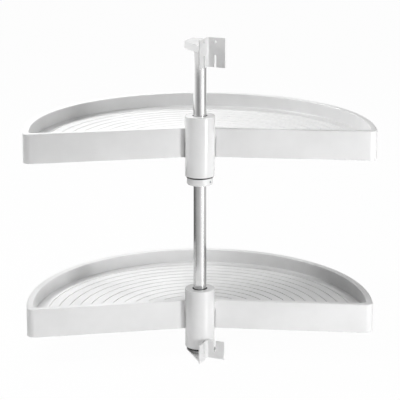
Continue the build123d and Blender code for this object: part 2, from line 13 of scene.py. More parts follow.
import bmesh
import bpy
import numpy as np
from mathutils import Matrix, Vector

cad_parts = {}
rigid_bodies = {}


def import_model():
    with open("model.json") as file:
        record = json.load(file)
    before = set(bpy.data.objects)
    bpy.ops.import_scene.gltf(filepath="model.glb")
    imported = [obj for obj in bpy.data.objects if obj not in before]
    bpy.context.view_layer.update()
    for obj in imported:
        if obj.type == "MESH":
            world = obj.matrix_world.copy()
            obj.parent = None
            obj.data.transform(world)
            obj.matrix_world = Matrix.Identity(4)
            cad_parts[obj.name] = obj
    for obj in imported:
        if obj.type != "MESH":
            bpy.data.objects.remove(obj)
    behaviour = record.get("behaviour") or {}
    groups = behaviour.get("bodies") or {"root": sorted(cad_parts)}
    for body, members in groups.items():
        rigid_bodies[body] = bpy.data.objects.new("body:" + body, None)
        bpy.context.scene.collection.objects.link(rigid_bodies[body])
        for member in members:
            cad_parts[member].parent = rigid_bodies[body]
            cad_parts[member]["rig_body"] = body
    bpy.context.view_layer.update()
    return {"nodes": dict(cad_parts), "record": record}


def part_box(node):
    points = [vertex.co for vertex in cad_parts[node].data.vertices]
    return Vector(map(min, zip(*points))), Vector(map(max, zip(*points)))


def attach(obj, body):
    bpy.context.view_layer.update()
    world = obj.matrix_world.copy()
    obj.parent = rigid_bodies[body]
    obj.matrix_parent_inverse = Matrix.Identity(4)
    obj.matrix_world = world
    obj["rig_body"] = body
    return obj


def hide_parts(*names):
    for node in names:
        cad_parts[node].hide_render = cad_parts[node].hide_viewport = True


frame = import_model()
MM = 0.001

# %% [markdown]
# ## The camera
# The photograph is taken with a fairly long lens from above the upper tray. A camera could be
# placed by eye, but then no edge could be compared with the photograph. So the lens, distance and
# tilt come from the trays' edges: their front corners, their arcs and the pole all land on the
# same pixels. The picture's optical centre lies above its middle, because the photograph is a
# crop, so the camera has a vertical shift.

# %% Set up the camera (picture in pixels, places in metres, turns in radians, sensor in mm)
PICTURE = 400.0
FOCAL_PIXELS = 1577.9
OPTICAL_CENTRE = (199.9, 125.0)
POLE_DISTANCE = 3261.6 * MM
CAMERA_HEIGHT = 1254.1 * MM
CAMERA_TURN = 0.0412
CAMERA_TILT = 0.225
SENSOR = 36.0
CLIP_END = 50.0


def add_camera():
    """A camera on a circle round the pole, turned by CAMERA_TURN and tilted down by CAMERA_TILT."""
    data = bpy.data.cameras.new("camera")
    data.sensor_width = SENSOR
    data.lens = SENSOR * FOCAL_PIXELS / PICTURE
    data.shift_x = (PICTURE / 2 - OPTICAL_CENTRE[0]) / PICTURE
    data.shift_y = (OPTICAL_CENTRE[1] - PICTURE / 2) / PICTURE
    data.clip_end = CLIP_END
    camera = bpy.data.objects.new("camera", data)
    bpy.context.scene.collection.objects.link(camera)
    camera.location = (
        -POLE_DISTANCE * math.sin(CAMERA_TURN),
        -POLE_DISTANCE * math.cos(CAMERA_TURN),
        CAMERA_HEIGHT,
    )
    camera.rotation_euler = (math.pi / 2 - CAMERA_TILT, 0.0, -CAMERA_TURN)
    bpy.context.scene.camera = camera
    return camera


camera = add_camera()
print("lens", round(camera.data.lens, 1), "mm")

# %% [markdown]
# ## Materials
# One helper turns sRGB hex values into the linear colours that the shader wants, and one adds a
# node with its settings and links. Nodes could also be set up by hand one line at a time, but
# then each finish would take a page. A number that is the same all over a surface is set on the
# shader's own socket.

# %% Helpers for materials


def linear(hex_colour):
    """Turns an sRGB hex value such as "f2f2f0" into a linear RGBA colour."""
    channels = [int(hex_colour[i : i + 2], 16) / 255 for i in (0, 2, 4)]
    curve = [c / 12.92 if c <= 0.04045 else ((c + 0.055) / 1.055) ** 2.4 for c in channels]
    return (*curve, 1.0)


def add_node(tree, kind, settings=None, **links):
    """Adds one node, sets its properties or input sockets, and links inputs to other sockets."""
    node = tree.nodes.new(kind)
    for name, value in (settings or {}).items():
        if hasattr(node, name):
            setattr(node, name, value)
        else:
            node.inputs[name].default_value = value
    for name, source in links.items():
        tree.links.new(source, node.inputs[name.replace("_", " ")])
    return node


def new_material(name):
    """An empty node material, its tree and the piece's own coordinates in metres."""
    material = bpy.data.materials.new(name)
    material.use_nodes = True
    tree = material.node_tree
    tree.nodes.clear()
    place = add_node(tree, "ShaderNodeTexCoord").outputs["Object"]
    return material, tree, place


def per_metre(size_mm):
    """Scale of a noise texture whose features are size_mm wide."""
    return 1.0 / (size_mm * MM)


print("mid grey 808080 is", round(linear("808080")[0], 3), "in linear light")

# %% [markdown]
# ## Moulded plastic
# The trays are injection-moulded in white ABS from a mould that was spark-eroded to a satin
# grain, and the hubs come from a polished mould. Both could be a plain glossy shader, but a real
# moulding has a grain that breaks the highlight up, slight sink and flow that bend broad
# reflections, and a white that isn't quite even. So two noises drive the bump, one for the grain
# and one for the sink, and a broad noise drives the colour and the roughness.

# %% Make the moulded finishes
NOISE_LOW, NOISE_HIGH = 0.3, 0.7  # most of a noise's values lie between these
CLOUD_STOPS = (0.35, 0.65)
CLOUD_MM = 90


def moulded_plastic(name, colours, roughness, grain, sink, ior=1.53):
    """Two close colours and two roughness values mixed by a broad noise; grain and sink are
    (size, height) in mm of the fine and the broad bump."""
    material, tree, place = new_material(name)
    cloud = add_node(
        tree,
        "ShaderNodeTexNoise",
        {"Scale": per_metre(CLOUD_MM), "Detail": 3.0, "Roughness": 0.6},
        Vector=place,
    )
    colour = add_node(tree, "ShaderNodeValToRGB", Fac=cloud.outputs["Fac"])
    for stop, where, shade in zip(colour.color_ramp.elements, CLOUD_STOPS, colours):
        stop.position, stop.color = where, linear(shade)
    gloss = add_node(
        tree,
        "ShaderNodeMapRange",
        {"From Min": NOISE_LOW, "From Max": NOISE_HIGH, "To Min": roughness[0], "To Max": roughness[1]},
        Value=cloud.outputs["Fac"],
    )
    wave = add_node(tree, "ShaderNodeTexNoise", {"Scale": per_metre(sink[0]), "Detail": 1.0}, Vector=place)
    pits = add_node(tree, "ShaderNodeTexNoise", {"Scale": per_metre(grain[0]), "Detail": 2.0}, Vector=place)
    broad = add_node(
        tree, "ShaderNodeBump", {"Strength": 1.0, "Distance": sink[1] * MM}, Height=wave.outputs["Fac"]
    )
    fine = add_node(
        tree,
        "ShaderNodeBump",
        {"Strength": 1.0, "Distance": grain[1] * MM},
        Height=pits.outputs["Fac"],
        Normal=broad.outputs["Normal"],
    )
    shader = add_node(
        tree,
        "ShaderNodeBsdfPrincipled",
        {"IOR": ior},
        Base_Color=colour.outputs["Color"],
        Roughness=gloss.outputs["Result"],
        Normal=fine.outputs["Normal"],
    )
    add_node(tree, "ShaderNodeOutputMaterial", Surface=shader.outputs[0])
    return material


# Satin: lamps show as soft patches. The real spark-eroded grain is about 0.15 mm wide, so it is
# drawn at 1.2 mm to show at all.
satin_abs = moulded_plastic(
    "spark_eroded_white_abs",
    colours=("eeeeee", "f3f3f3"),
    roughness=(0.36, 0.44),
    grain=(1.2, 0.02),
    sink=(60, 0.12),
)
# Polished: a narrow clear highlight runs down the sleeve, a little bent by the sink.
gloss_abs = moulded_plastic(
    "polished_white_abs",
    colours=("efefef", "f4f4f4"),
    roughness=(0.14, 0.19),
    grain=(1.6, 0.006),
    sink=(30, 0.04),
)
# Turned acetal is a waxy black, whose dull sheen shows its rounded edges.
black_acetal = moulded_plastic(
    "turned_black_acetal",
    colours=("0c0c0c", "141414"),
    roughness=(0.3, 0.4),
    grain=(0.8, 0.02),
    sink=(12, 0.03),
    ior=1.48,
)
print("moulded", satin_abs.name, gloss_abs.name, black_acetal.name)

# %% [markdown]
# ## Powder-coated sheet, plated tube and zinc-plated screws
# The brackets are pressed from steel sheet and powder-coated white: the melted powder leaves a
# soft orange-peel about 2 mm across and rounds every sheared edge. The pole is a welded tube,
# ground between rollers and nickel-plated, so very fine lines run round it and draw its highlight
# out along its length. The screws are zinc-plated, a little blue and mottled. Anisotropic gloss
# would also draw a highlight out, but stretched noise keeps the lines themselves to be seen.

# %% Make the metal finishes
PATCH_MM = 25


def powder_coat(name, colours, roughness, peel):
    """A paint film: orange peel of (size, height) in mm bends a low coat of gloss over white."""
    material, tree, place = new_material(name)
    bumps = add_node(tree, "ShaderNodeTexNoise", {"Scale": per_metre(peel[0]), "Detail": 1.5}, Vector=place)
    film = add_node(
        tree, "ShaderNodeBump", {"Strength": 1.0, "Distance": peel[1] * MM}, Height=bumps.outputs["Fac"]
    )
    patch = add_node(tree, "ShaderNodeTexNoise", {"Scale": per_metre(PATCH_MM), "Detail": 2.0}, Vector=place)
    shade = add_node(tree, "ShaderNodeValToRGB", Fac=patch.outputs["Fac"])
    for stop, where, value in zip(shade.color_ramp.elements, (NOISE_LOW, NOISE_HIGH), colours):
        stop.position, stop.color = where, linear(value)
    shader = add_node(
        tree,
        "ShaderNodeBsdfPrincipled",
        {"IOR": 1.5, "Roughness": roughness},
        Base_Color=shade.outputs["Color"],
        Normal=film.outputs["Normal"],
    )
    add_node(tree, "ShaderNodeOutputMaterial", Surface=shader.outputs[0])
    return material


def plated_metal(name, colours, roughness, lines, depth, mottle):
    """Metal whose roughness and bump follow a noise stretched into lines. lines is the noise's
    features per metre along x, y and z; the lines' depth and the colour's mottle are in mm."""
    material, tree, place = new_material(name)
    stretch = add_node(tree, "ShaderNodeMapping", {"Scale": lines}, Vector=place)
    grind = add_node(
        tree, "ShaderNodeTexNoise", {"Scale": 1.0, "Detail": 3.0}, Vector=stretch.outputs["Vector"]
    )
    gloss = add_node(
        tree,
        "ShaderNodeMapRange",
        {"From Min": NOISE_LOW, "From Max": NOISE_HIGH, "To Min": roughness[0], "To Max": roughness[1]},
        Value=grind.outputs["Fac"],
    )
    relief = add_node(
        tree, "ShaderNodeBump", {"Strength": 1.0, "Distance": depth * MM}, Height=grind.outputs["Fac"]
    )
    cloud = add_node(tree, "ShaderNodeTexNoise", {"Scale": per_metre(mottle), "Detail": 2.0}, Vector=place)
    tint = add_node(tree, "ShaderNodeValToRGB", Fac=cloud.outputs["Fac"])
    for stop, where, value in zip(tint.color_ramp.elements, CLOUD_STOPS, colours):
        stop.position, stop.color = where, linear(value)
    shader = add_node(
        tree,
        "ShaderNodeBsdfPrincipled",
        {"Metallic": 1.0},
        Base_Color=tint.outputs["Color"],
        Roughness=gloss.outputs["Result"],
        Normal=relief.outputs["Normal"],
    )
    add_node(tree, "ShaderNodeOutputMaterial", Surface=shader.outputs[0])
    return material


# A soft even white, whose highlights waver with the orange peel.
white_powder = powder_coat(
    "powder_coated_sheet", colours=("e6e6e6", "ebebeb"), roughness=0.38, peel=(2.2, 0.03)
)
# Nearly a mirror. Grinding lines are a few hundredths of a millimetre apart, and are drawn 0.7 mm
# apart to show.
bright_plate = plated_metal(
    "ground_nickel_plated_tube",
    colours=("d2d2d2", "dadada"),
    roughness=(0.13, 0.2),
    lines=(20, 20, 1400),
    depth=0.0015,
    mottle=40,
)
# A dull blue-grey with fine spots.
zinc_plate = plated_metal(
    "zinc_plated_steel",
    colours=("b9bcc2", "cfd1d6"),
    roughness=(0.28, 0.4),
    lines=(600, 600, 600),
    depth=0.004,
    mottle=2,
)
FINISHES = {
    "white_tray": satin_abs,
    "white_hub": gloss_abs,
    "white_sheet": white_powder,
    "bright_pole": bright_plate,
    "black_plastic": black_acetal,
    "zinc_screw": zinc_plate,
}
print("finishes", [material.name for material in FINISHES.values()])

# %% [markdown]
# ## Give the solids of the frame their finish
# The bearing ring, the hubs' lower bushes, the foot plug and its screw, and the collar's grub
# screw are plain turned forms that the engineering model already has right. They could be built
# again like the rest, but nothing of them would look different, so they stay and take the finish
# that their slot names. The other solids take theirs too, until a finer piece replaces them.

# %% Finish the solids of the frame
SLOT_OF = {part["node"]: part["material_slot"] for part in frame["record"]["subparts"]}
for name, node in frame["nodes"].items():
    for material_slot in node.material_slots:
        material_slot.material = FINISHES[SLOT_OF[name]]
print("finished", len(SLOT_OF), "solids")

# %% [markdown]
# ## From numbers to meshes
# Every new form is a grid of points worked out with numpy. Ready-made cylinders and booleans
# would be quicker to write, but give long thin faces and hard edges. Two kinds of closed skin are
# enough here: a section carried along a path, and a slab between an upper and a lower grid. A
# place in plan is one complex number x + iy, because turning it about the pole is then a
# multiplication.

# %% Skins from grids of points


def grid_quads(rows, columns, close_rows=False, close_columns=False):
    """Quads of a grid: each joins (i, j), (i+1, j), (i+1, j+1), (i, j+1); a closed way wraps."""
    i = np.arange(rows if close_rows else rows - 1)[:, None]
    j = np.arange(columns if close_columns else columns - 1)[None, :]
    i2, j2 = (i + 1) % rows, (j + 1) % columns
    corners = [i * columns + j, i2 * columns + j, i2 * columns + j2, i * columns + j2]
    return np.stack([corner.ravel() for corner in corners], axis=1)


def lifted(plan, height):
    """Points of a complex plan at a height: an array whose last way is x, y and z."""
    return np.stack(np.broadcast_arrays(plan.real, plan.imag, height), axis=-1)


def swept(points, close_path=False):
    """Closed skin over stations x points round a closed section, capped at an open path's ends."""
    stations, around = points.shape[:2]
    faces = [grid_quads(stations, around, close_path, True)]
    if not close_path:
        section = np.arange(around)[None, :]
        faces += [section, section + (stations - 1) * around]
    return points.reshape(-1, 3), faces


def slab(top, bottom):
    """Closed skin between two grids of the same size, joined round their common edge."""
    rows, columns = top.shape[:2]
    count = rows * columns
    index = np.arange(count).reshape(rows, columns)
    ring = np.concatenate([index[0, :-1], index[:-1, -1], index[-1, :0:-1], index[:0:-1, 0]])
    after = np.roll(ring, -1)
    skin = grid_quads(rows, columns)
    faces = [skin, skin + count, np.stack([ring, after, after + count, ring + count], axis=1)]
    return np.concatenate([top.reshape(-1, 3), bottom.reshape(-1, 3)]), faces


def turned(profile, steps, centre=0j):
    """Closed profile of (radius, height) carried round an upright axis at centre."""
    way = np.exp(1j * np.linspace(0, 2 * np.pi, steps, endpoint=False)[:, None])
    return swept(lifted(centre + profile[:, 0] * way, profile[:, 1]), close_path=True)


print("a grid of 3 by 4 points has", len(grid_quads(3, 4)), "quads")

# %% [markdown]
# ## Rounded outlines
# A moulding or a turned part has no sharp edge. A bevel modifier could round each one, but it
# treats all alike. Here an outline comes with sharp corners, and a helper gives every corner the
# radius that the real one has before the outline is carried anywhere.

# %% Helpers for outlines


def rounded(corners, radii, steps):
    """Closed outline whose corners become arcs, each tangent to the straight before and after it.
    Corners are complex numbers: an arc is its centre plus the start arm turned step by step."""
    corner = np.asarray(corners, float) @ np.array([1, 1j])
    radius = np.broadcast_to(np.asarray(radii, float), corner.shape)
    way_in, way_out = corner - np.roll(corner, 1), np.roll(corner, -1) - corner
    way_in, way_out = way_in / abs(way_in), way_out / abs(way_out)
    turn = np.angle(way_out / way_in)
    start = corner - way_in * radius * np.tan(abs(turn) / 2)
    centre = start + 1j * np.sign(turn) * way_in * radius
    part_turn = turn[:, None] * np.linspace(0, 1, steps)
    arc = (centre[:, None] + (start - centre)[:, None] * np.exp(1j * part_turn)).ravel()
    return np.stack([arc.real, arc.imag], axis=1)


def ring_section(inner, outer, low, high, curve, steps):
    """Rounded rectangle between two radii and two heights, to be turned into a ring or a tube."""
    return rounded([(inner, low), (outer, low), (outer, high), (inner, high)], curve, steps)


def smoothstep(low, high, value):
    """0 below low, 1 above high, and 3t^2 - 2t^3 between."""
    t = np.clip((value - low) / (high - low), 0, 1)
    return t * t * (3 - 2 * t)


print("a ring's section has", len(ring_section(1, 2, 0, 1, 0.1, steps=6)), "points")

# %% [markdown]
# ## Pieces in the scene
# A piece could be several objects joined by parenting, but one mesh is simpler to ride on a body
# and to export. So the skins of a piece go into one mesh, which takes the place of its solid.

# %% Helpers for pieces
MERGE_BELOW = 0.002 * MM
SMOOTH_BELOW = math.radians(38)


def show(name, mesh, node):
    """Smooths all but the sharp edges and puts the mesh in the scene in the CAD node's place."""
    mesh.polygons.foreach_set("use_smooth", np.ones(len(mesh.polygons), bool))
    mesh.set_sharp_from_angle(angle=SMOOTH_BELOW)
    mesh.materials.append(FINISHES[SLOT_OF[node]])
    piece = bpy.data.objects.new(name, mesh)
    bpy.context.scene.collection.objects.link(piece)
    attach(piece, frame["nodes"][node]["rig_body"])
    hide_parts(node)
    return piece


def make_piece(name, shells, node):
    """Joins closed skins given in mm into one mesh in metres, merges doubles, drops the edges that
    this leaves along an axis, turns all faces outwards and replaces a CAD node with it."""
    starts = np.cumsum([0] + [len(points) for points, _ in shells])
    points = np.concatenate([points for points, _ in shells]) * MM
    faces = []
    for (_, blocks), start in zip(shells, starts):
        for block in blocks:
            faces += (block + start).tolist()
    mesh = bpy.data.meshes.new(name)
    mesh.from_pydata(points, [], faces)
    work = bmesh.new()
    work.from_mesh(mesh)
    bmesh.ops.remove_doubles(work, verts=work.verts, dist=MERGE_BELOW)
    bmesh.ops.delete(work, geom=[edge for edge in work.edges if edge.is_wire], context="EDGES")
    bmesh.ops.recalc_face_normals(work, faces=work.faces)
    work.to_mesh(mesh)
    open_edges = sum(not edge.is_manifold for edge in work.edges)
    work.free()
    show(name, mesh, node)
    print(name, len(mesh.polygons), "faces,", open_edges, "open edges")


# %% [markdown]
# ## The trays
# A tray is one moulding: a rim that is a hollow box, open below, round a basin whose walls
# narrow towards the floor; a floor with thirteen fine rings that stop short of the front; ribs,
# screw bosses and ejector marks below; and a socket for the hub. Its plan isn't quite a half
# circle: the two front edges lean forward by 8 degrees. A boolean of solids would give the same
# shape with hard edges. Here the rim's whole wall is one rounded section carried along the
# outline, and the rings are a height on the floor's polar grid, so both stay smooth close up.

# %% Outline of a tray, in mm
TRAY_RADIUS = 375.0
LEAN = math.radians(8.0)
FRONT_TO_FRONT = np.pi + 2 * LEAN
WALL = 3.0
RIM_WIDTH = 14.5
WALL_FOOT = 19.0
SOCKET_INNER = 32.15
CORNER_INSETS = (0.0, WALL, RIM_WIDTH - WALL, WALL_FOOT)
CORNER_RADII = (16.0, 13.0, 12.0, 4.5)
FRONT_STEPS, CORNER_STEPS, ARC_STEPS = 24, 12, 96


def corner_radius(inset):
    """The outline's corner radius at an inset: it shrinks from 16 mm outside to the basin's foot,
    and slowly across the rim between the two walls."""
    return np.interp(inset, CORNER_INSETS, CORNER_RADII)


def half_moon_path(inset):
    """Plan of the tray moved inwards by inset, from the hub's right side round to its left. In a
    plan turned so that the right front lies along x, the runs are the straight front, an arc
    round the corner's centre, and the great arc round the pole; the left half is the mirror."""
    corner, radius = corner_radius(inset), TRAY_RADIUS - inset
    centre = np.sqrt((radius - corner) ** 2 - (inset + corner) ** 2) + 1j * (inset + corner)
    near = np.sqrt(SOCKET_INNER**2 - inset**2)
    front = near + (centre.real - near) * np.linspace(0, 1, FRONT_STEPS) + 1j * inset
    turn = np.linspace(0, 1, CORNER_STEPS) * (np.angle(centre) + np.pi / 2) - np.pi / 2
    great = np.angle(centre) + (FRONT_TO_FRONT / 2 - np.angle(centre)) * np.linspace(0, 1, ARC_STEPS)
    runs = [front, (centre + corner * np.exp(1j * turn))[:, 1:], radius * np.exp(1j * great[:, 1:])]
    right = np.concatenate(runs, axis=1) * np.exp(-1j * LEAN)
    return np.concatenate([right, -np.conj(right[:, -2::-1])], axis=1)


print("outline of", half_moon_path(np.zeros((1, 1))).size, "points")

# %% Wall and rim of a tray, in mm
TRAY_HEIGHT = 63.5
FLOOR_DROP = 29.0
FLOOR_THICKNESS = 3.2
UNDER_DROP = FLOOR_DROP + FLOOR_THICKNESS
DRAFT = math.radians(2.0)
BASIN_FOOT = RIM_WIDTH + FLOOR_DROP * math.tan(DRAFT)
EDGE_CURVE = 0.6
RIM_CURVE = 2.5
FLOOR_CURVE = 0.9
HOLLOW_CURVE = 1.5


def rim_shell(rim):
    """The wall's section in (inset, height), its corners rounded, carried along the outline."""
    skirt, floor, under = rim - TRAY_HEIGHT, rim - FLOOR_DROP, rim - UNDER_DROP
    inner = RIM_WIDTH - WALL
    outside = [(0, skirt), (0, rim)]
    basin = [(RIM_WIDTH, rim), (BASIN_FOOT, floor), (WALL_FOOT, floor), (WALL_FOOT, under)]
    hollow = [(inner, under), (inner, rim - WALL), (WALL, rim - WALL), (WALL, skirt)]
    curves = [EDGE_CURVE, RIM_CURVE, RIM_CURVE, FLOOR_CURVE, 0, 0]
    curves += [EDGE_CURVE, HOLLOW_CURVE, HOLLOW_CURVE, EDGE_CURVE]
    section = rounded(outside + basin + hollow, curves, steps=7)
    plan = half_moon_path(section[:, :1])
    return swept(lifted(plan, section[:, 1:]).transpose(1, 0, 2))


print("basin's foot", round(BASIN_FOOT, 2), "mm inside the outline")

# %% [markdown]
# The floor's grid has one row for each radius and more rows across each ring. Along a row, the
# first columns follow lines parallel to the front wall, so that every ring ends on a clean line,
# and the rest are spread evenly in angle. Where the corner is round, the first angle comes from
# the triangle of the pole, the corner's centre and the point. A square grid would be simpler,
# but it would cut the rings into steps.

# %% Grid of a tray's floor, in mm
FLOOR_EDGE = 17.0
FLOOR_START = SOCKET_INNER + 1.4
RING_RADII = 334.0 - 22.0 * np.arange(13)
RING_ROWS = np.array([-2.0, -1.3, -1.22, -1.14, 0.0, 1.14, 1.22, 1.3, 2.0])
EDGE_ROWS = np.array([0.05, 0.3, 1.0, 2.0, 4.0])
EVEN_ROWS = 36
FRONT_LINES = np.array([FLOOR_EDGE, 18.6, 19.3, 19.7, 20.1, 20.6, 22.0, 25.0])
EVEN_COLUMNS = 170


def floor_grid():
    """Radii and angles of the floor's points. The first angle at radius r is arcsin(edge / r), and
    round a corner of radius c, whose centre has radius m and angle t, it is
    t - arccos((r^2 + m^2 - c^2) / 2rm)."""
    edge_radius = TRAY_RADIUS - FLOOR_EDGE
    even = np.linspace(FLOOR_START, edge_radius, EVEN_ROWS)
    rows = [(RING_RADII[:, None] + RING_ROWS).ravel(), even, edge_radius - EDGE_ROWS]
    radius = np.unique(np.concatenate(rows))[:, None]
    corner = float(corner_radius(FLOOR_EDGE))
    reach = edge_radius - corner
    turn = np.arcsin((FLOOR_EDGE + corner) / reach)
    apart = (radius**2 + reach**2 - corner**2) / (2 * radius * reach)
    on_corner = turn - np.arccos(np.clip(apart, -1, 1))
    on_front = np.arcsin(FLOOR_EDGE / radius)
    first = np.where(radius > np.hypot(reach * np.cos(turn), FLOOR_EDGE), on_corner, on_front)
    near = first + np.arcsin(FRONT_LINES / radius) - on_front
    left = FRONT_TO_FRONT - near[:, ::-1]
    middle = near[:, -1:] + (left[:, :1] - near[:, -1:]) * np.linspace(0, 1, EVEN_COLUMNS)[1:-1]
    return radius, np.concatenate([near, middle, left], axis=1)


print("floor grid", floor_grid()[1].shape)

# %% Height of a tray's floor, in mm
RING_HALF = 1.3
RING_SIDE = 0.15
RING_DEPTH = 1.8
RING_END = 19.5
RING_FADE = 0.8
SKIN_STEP = 0.01  # keeps the floor's skin out of the planes of the wall's foot


def floor_shell(rim):
    """Height of the floor is its level less the ring's depth, where the ring's share is 1 within
    its width and 0 outside, times a share that falls to 0 near the front walls."""
    radius, angle = floor_grid()
    from_front = radius * np.sin(np.minimum(np.minimum(angle, FRONT_TO_FRONT - angle), np.pi / 2))
    gap = np.abs(radius - RING_RADII).min(axis=1)[:, None]
    in_ring = 1 - smoothstep(RING_HALF - RING_SIDE, RING_HALF, gap)
    sunk = in_ring * smoothstep(RING_END, RING_END + RING_FADE, from_front)
    plan = radius * np.exp(1j * (angle - LEAN))
    top = rim - FLOOR_DROP - SKIN_STEP - RING_DEPTH * sunk
    return slab(lifted(plan, top), lifted(plan, rim - UNDER_DROP + SKIN_STEP))


print(len(RING_RADII), "rings, the widest at", RING_RADII[0], "mm")

# %% [markdown]
# Below the floor, seven radial ribs run from the socket to the wall and grow shallow towards the
# rim, and two ring ribs tie them. A moulded rib is thicker at its root, where it meets the floor
# in a small curve, and thinner at its tip so that it leaves the mould. Plain plates would miss
# both, so a rib is its section carried along.

# %% Ribs of a tray, in mm
RIB_COUNT = 7
RIB_STEP = FRONT_TO_FRONT / (RIB_COUNT + 1)
RIB_ANGLES = -LEAN + RIB_STEP * np.arange(1, RIB_COUNT + 1)
RIB_START = SOCKET_INNER + 1.0
RIB_TIES = (147.0, 257.0)
RIB_DEEP, RIB_SHALLOW = 14.0, 8.0
RIB_ROOT = np.array([(2.6, -0.4), (2.4, 0.05), (1.7, 0.4), (1.35, 1.2)])
RIB_TIP = np.array([(1.15, -0.4), (0.75, -0.05)])
RIB_STATIONS, TIE_STATIONS = 12, 120


def rib_section(depth):
    """Closed section as (across, down): the root's points, the tip's points moved down by depth,
    and the mirror of both for the other side."""
    across = np.concatenate([RIB_ROOT[:, 0], RIB_TIP[:, 0]])
    down = np.concatenate([RIB_ROOT[:, 1], depth + RIB_TIP[:, 1]])
    return np.concatenate([across, -across[::-1]]), np.concatenate([down, down[::-1]])


def rib_shells(rim):
    """Radial ribs: the section carried outwards while its depth falls evenly. Ring ribs: the
    section carried round the pole from front wall to front wall."""
    under = rim - UNDER_DROP
    station = np.linspace(RIB_START, TRAY_RADIUS - WALL / 2, RIB_STATIONS)[:, None]
    depths = np.linspace(RIB_DEEP, RIB_SHALLOW, RIB_STATIONS)
    across, down = (np.array(rows) for rows in zip(*map(rib_section, depths)))
    shells = []
    for way in np.exp(1j * RIB_ANGLES):
        shells.append(swept(lifted((station + 1j * across) * way, under - down)))
    across, down = rib_section(RIB_SHALLOW)
    for radius in RIB_TIES:
        clear = np.arcsin(WALL / 2 / radius)
        turn = np.linspace(clear, FRONT_TO_FRONT - clear, TIE_STATIONS)[:, None] - LEAN
        shells.append(swept(lifted((radius + across) * np.exp(1j * turn), under - down)))
    return shells


print(RIB_COUNT, "radial ribs and", len(RIB_TIES), "ring ribs")

# %% [markdown]
# The socket is a ring that stands 10 mm above the floor behind the hub and reaches down past the
# ribs. It ends higher where the hub's flange passes below it. Three bosses on a circle of 50 mm
# radius take the hub's screws, and low round marks show where the ejector pins pushed the tray
# off its mould. Cylinders would do for all of them, but their roots and edges would be sharp, so
# each is a rounded section carried round its axis.

# %% Socket of a tray, in mm
SOCKET_OUTER = 35.15
SOCKET_UPSTAND = 10.0
SOCKET_CURVE = 0.8
FLANGE_EDGE = 12.0
BOSS_DROP = 15.0
TIP_DROP = UNDER_DROP + BOSS_DROP
SIDE_STEPS, BACK_STEPS = 10, 60


def socket_shell(rim):
    """A rounded ring section carried round the pole; where y is above FLANGE_EDGE, its lower end
    steps up from the tray's skirt to the tips of the bosses."""
    skirt, floor = rim - TRAY_HEIGHT, rim - FLOOR_DROP
    lip = ring_section(SOCKET_INNER, SOCKET_OUTER, skirt, floor + SOCKET_UPSTAND, SOCKET_CURVE, steps=5)
    step = np.arcsin(FLANGE_EDGE / SOCKET_OUTER)
    side = np.linspace(-LEAN, step, SIDE_STEPS)
    turn = np.concatenate([side, np.linspace(step, np.pi - step, BACK_STEPS), np.pi - side[::-1]])
    low = np.repeat([skirt, rim - TIP_DROP, skirt], (SIDE_STEPS, BACK_STEPS, SIDE_STEPS))[:, None]
    height = np.where(lip[:, 1] < floor, lip[:, 1] - skirt + low, lip[:, 1])
    return swept(lifted(lip[:, 0] * np.exp(1j * turn[:, None]), height))


print("socket for a hub of", 2 * SOCKET_INNER, "mm at most")

# %% Bosses and ejector marks of a tray: profiles in mm, from the floor's underside
SCREW_CIRCLE = 50.0
SCREW_ANGLES = np.radians((41.0, 90.0, 139.0))
BOSS_PROFILE = ((2.0, 0.0), (2.0, -BOSS_DROP), (5.0, -BOSS_DROP), (5.2, -1.2), (6.6, 0.0), (6.0, 0.5))
BOSS_CURVES = (0, 0.3, 0.5, 2.0, 0, 0)
MARK_PROFILE = ((0, 0.5), (4.0, 0.5), (4.0, -0.25), (0, -0.25))
MARK_CURVES = (0, 0, 0.15, 0)
MARK_CIRCLES = (110.0, 205.0, 310.0)


def boss_shells(rim):
    """Bosses: a tube with a curved root. Marks: discs 0.25 mm proud, between the ribs. Both are
    turned profiles, rounded and moved to the floor's underside."""
    under = (0, rim - UNDER_DROP)
    boss = rounded(BOSS_PROFILE, BOSS_CURVES, steps=4) + under
    mark = rounded(MARK_PROFILE, MARK_CURVES, steps=3) + under
    shells = [turned(boss, steps=32, centre=place) for place in SCREW_CIRCLE * np.exp(1j * SCREW_ANGLES)]
    between = np.exp(1j * (RIB_ANGLES[:-1] + RIB_STEP / 2))
    for radius in MARK_CIRCLES:
        shells += [turned(mark, steps=24, centre=place) for place in radius * between]
    return shells


print(len(SCREW_ANGLES), "bosses and", len(MARK_CIRCLES) * (len(RIB_ANGLES) - 1), "ejector marks")

# %% Make both trays


def tray_shells(rim):
    """All closed skins of one tray, whose rim lies at the height rim."""
    return [rim_shell(rim), floor_shell(rim), socket_shell(rim), *rib_shells(rim), *boss_shells(rim)]


RIMS = {name: float(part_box(f"{name}_tray")[1][2]) / MM for name in ("lower", "upper")}
for name, rim in RIMS.items():
    make_piece(f"{name}_tray_moulding", tray_shells(rim), f"{name}_tray")
print("rims at", RIMS)

# %% [markdown]
# ## The hubs
# A hub is a wide sleeve with a thin outer wall, an inner core that seats a bush at each end, six
# webs between them, and a half flange behind, stiffened by two gussets, that is screwed up under
# the tray. Its top is a flat plate with a rounded edge and the bush sunk 7 mm into it. A cylinder
# with holes cut in it would show the same outside, but no rounded bore or webs from below. So the
# sleeve is a turned section, and the flange is a section carried from one end of the half circle
# to the other.

# %% Sleeve and webs of a hub, in mm
HUB_RADIUS = 32.0
HUB_ABOVE = 27.0
HUB_BELOW = 104.0
HUB_PLATE = 4.0
HUB_CORE = 19.5
CORE_BORE = 15.3
BUSH_SEAT = 16.5
BUSH_LENGTH = 20.0
BUSH_SUNK = 7.0
SLEEVE_CURVES = (0.5, 1.6, 0.7, 0.5, 1, 1, 0.3, 0.3, 0, 0, 0, 0)
WEB_ANGLES = np.radians(60.0) * np.arange(6)
WEB_START, WEB_END = 18.8, 29.8
WEB_SHORT = 2.0
PLATE_HALF = 1.25


